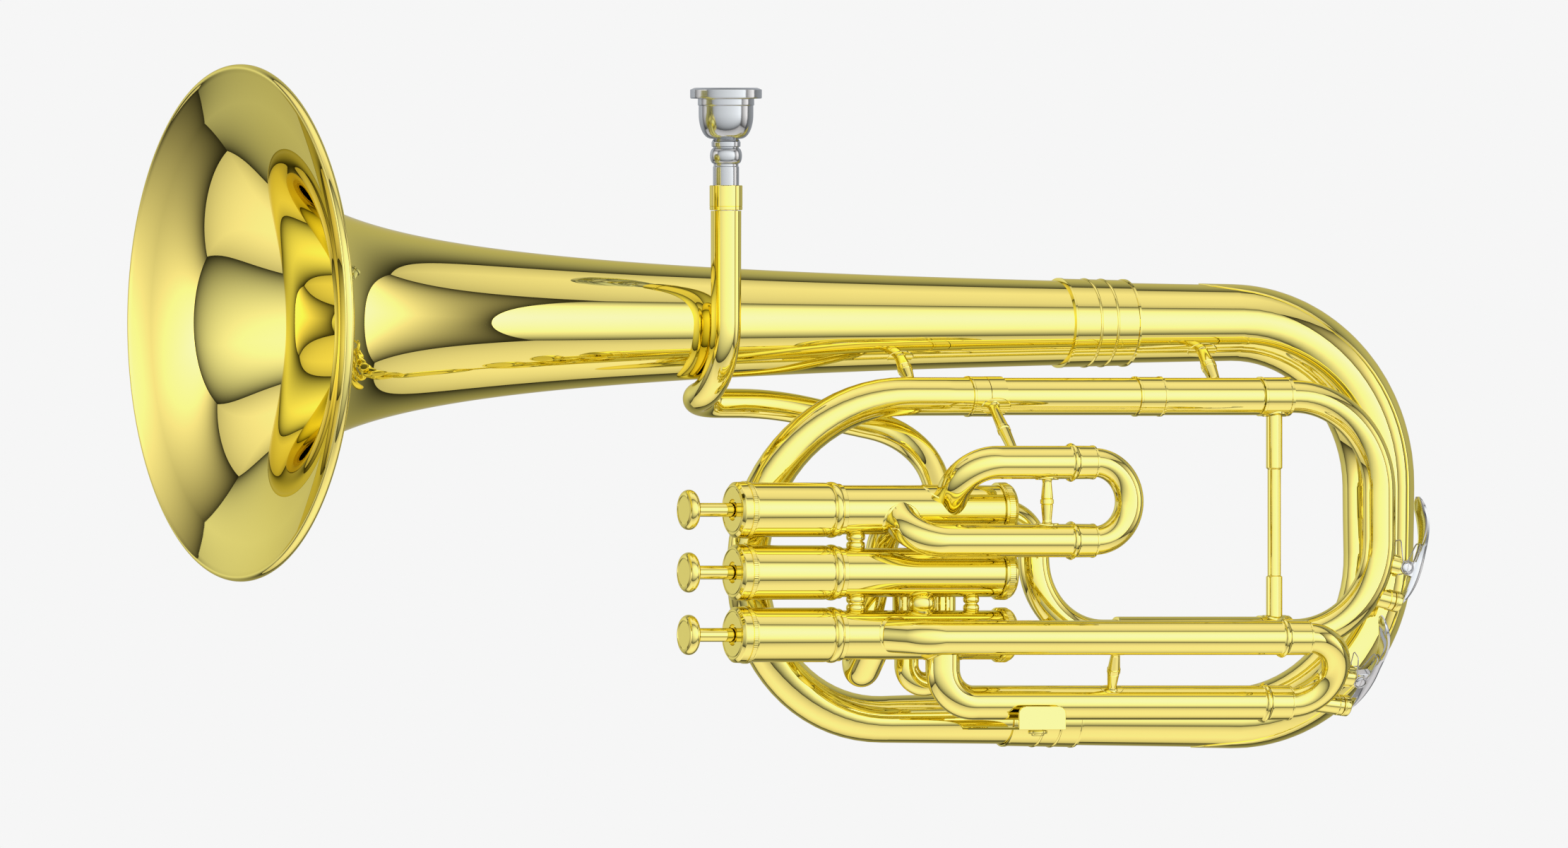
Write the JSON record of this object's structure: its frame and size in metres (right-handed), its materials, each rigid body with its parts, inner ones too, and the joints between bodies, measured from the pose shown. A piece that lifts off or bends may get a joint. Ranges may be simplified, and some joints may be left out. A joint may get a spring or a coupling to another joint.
{
  "type": "euphonium",
  "caption": "Brass euphonium with piston valves, pull-out tuning and valve slides, water keys, a flared bell and a silver mouthpiece.",
  "frame": {"origin": "centre of the bell's mouth, in the plane of the bell rim", "axes": "+X along the bell axis from the mouth towards the bows, +Z the way the mouthpiece points, -Y the player's side with the valves and slides"},
  "size_m": [0.7008, 0.2796, 0.3689],
  "materials": {
    "brass": "polished, clear lacquer",
    "silver": "polished silver plate",
    "spring_steel": "fine ground"
  },
  "bodies": {
    "body": {"bell": "brass", "main_bow": "brass", "main_loop": "brass", "bell_ferrule": "brass", "branch_ferrule": "brass", "tuning_slide_upper_sleeve": "brass", "tuning_slide_lower_sleeve": "brass", "mouthpiece_receiver": "brass", "leadpipe": "brass", "valve_1_casing": "brass", "valve_1_top_cap": "brass", "valve_1_bottom_cap": "brass", "valve_2_casing": "brass", "valve_2_top_cap": "brass", "valve_2_bottom_cap": "brass", "valve_3_casing": "brass", "valve_3_top_cap": "brass", "valve_3_bottom_cap": "brass", "casing_link_1_2": "brass", "casing_link_2_3": "brass", "valve_port_2_3": "brass", "casing_post_2_3": "brass", "first_slide_upper_sleeve": "brass", "first_slide_lower_sleeve": "brass", "first_slide_stay": "brass", "second_slide_near_sleeve": "brass", "second_slide_far_sleeve": "brass", "third_slide_upper_sleeve": "brass", "third_slide_lower_sleeve": "brass", "third_slide_stay": "brass", "outlet_tube": "brass", "bell_to_loop_stay": "brass", "bow_to_sleeve_stay": "brass", "sleeve_to_first_slide_stay": "brass", "finger_plate": "brass"},
    "tuning_slide": {"tuning_slide_crook": "brass", "tuning_slide_brace": "brass", "tuning_water_key_seat": "brass", "tuning_water_key_screw": "silver"},
    "tuning_water_key": {"tuning_water_key_lever": "silver"},
    "first_slide": {"first_slide_crook": "brass"},
    "second_slide": {"second_slide_crook": "brass"},
    "third_slide": {"third_slide_crook": "brass", "third_slide_water_key_seat": "brass", "third_slide_water_key_screw": "silver"},
    "third_slide_water_key": {"third_slide_water_key_lever": "silver"},
    "mouthpiece": {"mouthpiece": "silver"},
    "valve_1": {"valve_1_piston": "spring_steel", "valve_1_stem": "brass", "valve_1_button": "brass", "valve_1_spring": "spring_steel"},
    "valve_2": {"valve_2_piston": "spring_steel", "valve_2_stem": "brass", "valve_2_button": "brass", "valve_2_spring": "spring_steel"},
    "valve_3": {"valve_3_piston": "spring_steel", "valve_3_stem": "brass", "valve_3_button": "brass", "valve_3_spring": "spring_steel"}
  },
  "joints": [
    {"name": "mouthpiece_pull", "type": "slide", "parent": "body", "child": "mouthpiece", "axis": [0, 0, 1], "range_m": [0, 0.045]},
    {"name": "tuning_slide_pull", "type": "slide", "parent": "body", "child": "tuning_slide", "axis": [1, 0, 0], "range_m": [0, 0.055]},
    {"name": "tuning_water_key_press", "type": "hinge", "parent": "tuning_slide", "child": "tuning_water_key", "pos_m": [0.67882, -0.039, -0.13207], "axis": [0, -1, 0], "range_deg": [0, 14], "stiffness_Nm_per_rad": 0.25, "springref_deg": -17.19},
    {"name": "first_slide_pull", "type": "slide", "parent": "body", "child": "first_slide", "axis": [1, 0, 0], "range_m": [0, 0.03]},
    {"name": "second_slide_pull", "type": "slide", "parent": "body", "child": "second_slide", "axis": [0, 0, -1], "range_m": [0, 0.015]},
    {"name": "third_slide_pull", "type": "slide", "parent": "body", "child": "third_slide", "axis": [1, 0, 0], "range_m": [0, 0.08]},
    {"name": "third_slide_water_key_press", "type": "hinge", "parent": "third_slide", "child": "third_slide_water_key", "pos_m": [0.63019, -0.0835, -0.19111], "axis": [0, -0.8255, -0.5644], "range_deg": [0, 14], "stiffness_Nm_per_rad": 0.25, "springref_deg": -17.19},
    {"name": "valve_1_press", "type": "slide", "parent": "body", "child": "valve_1", "axis": [1, 0, 0], "range_m": [0, 0.018], "stiffness_N_per_m": 120, "springref_m": -0.03, "deforming": ["valve_1_spring"]},
    {"name": "valve_2_press", "type": "slide", "parent": "body", "child": "valve_2", "axis": [1, 0, 0], "range_m": [0, 0.018], "stiffness_N_per_m": 120, "springref_m": -0.03, "deforming": ["valve_2_spring"]},
    {"name": "valve_3_press", "type": "slide", "parent": "body", "child": "valve_3", "axis": [1, 0, 0], "range_m": [0, 0.018], "stiffness_N_per_m": 120, "springref_m": -0.03, "deforming": ["valve_3_spring"]}
  ]
}
